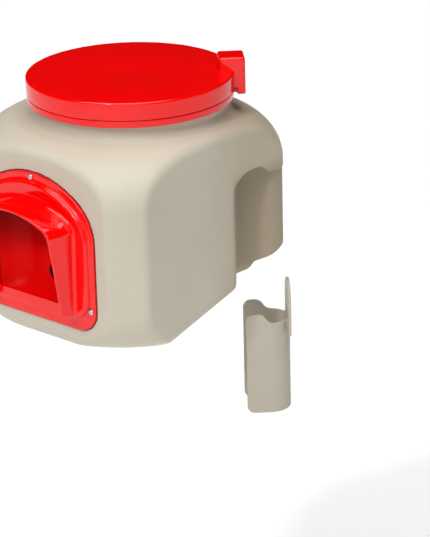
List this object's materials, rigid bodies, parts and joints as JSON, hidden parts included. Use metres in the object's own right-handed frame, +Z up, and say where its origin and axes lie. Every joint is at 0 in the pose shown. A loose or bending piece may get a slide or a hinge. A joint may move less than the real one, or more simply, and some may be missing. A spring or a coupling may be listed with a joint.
{
  "type": "hopper feeder",
  "caption": "Domed feed hopper with a hinged round lid, hooded feeding ports and a hollow corner column that drops into a post bracket.",
  "frame": {"origin": "midway between the bracket's two screw holes, on the face of the post it is screwed to", "axes": "+Y into the post, +Z up, +X to the right of someone who stands at the post and looks away from it; the hopper is on the -Y side"},
  "size_m": [0.316, 0.3208, 0.384],
  "materials": {
    "beige_plastic": "satin",
    "red_plastic": "gloss",
    "bracket_plastic": "satin",
    "seal_rubber": "matt",
    "steel": "satin"
  },
  "bodies": {
    "bracket": {"post_bracket": "bracket_plastic"},
    "hopper": {"hopper_body": "beige_plastic", "neck_collar": "red_plastic", "neck_seal": "seal_rubber", "collar_screws": "steel", "port_hood_right": "red_plastic", "port_gasket_right": "seal_rubber", "feed_cup_right": "red_plastic", "port_screws_right": "steel", "port_washers_right": "steel", "port_nuts_right": "steel", "port_hood_left": "red_plastic", "port_gasket_left": "seal_rubber", "feed_cup_left": "red_plastic", "port_screws_left": "steel", "port_washers_left": "steel", "port_nuts_left": "steel"},
    "lid_set": {"lid": "red_plastic", "lid_gasket": "seal_rubber", "lid_hinge_pin": "steel"}
  },
  "joints": [
    {"name": "hopper_slide", "type": "slide", "parent": "bracket", "child": "hopper", "axis": [0, 0, 1], "range_m": [-0.1655, 0]},
    {"name": "lid_hinge", "type": "hinge", "parent": "hopper", "child": "lid_set", "pos_m": [0, -0.0473, 0.277], "axis": [-1, 0, 0], "range_deg": [0, 95]}
  ]
}
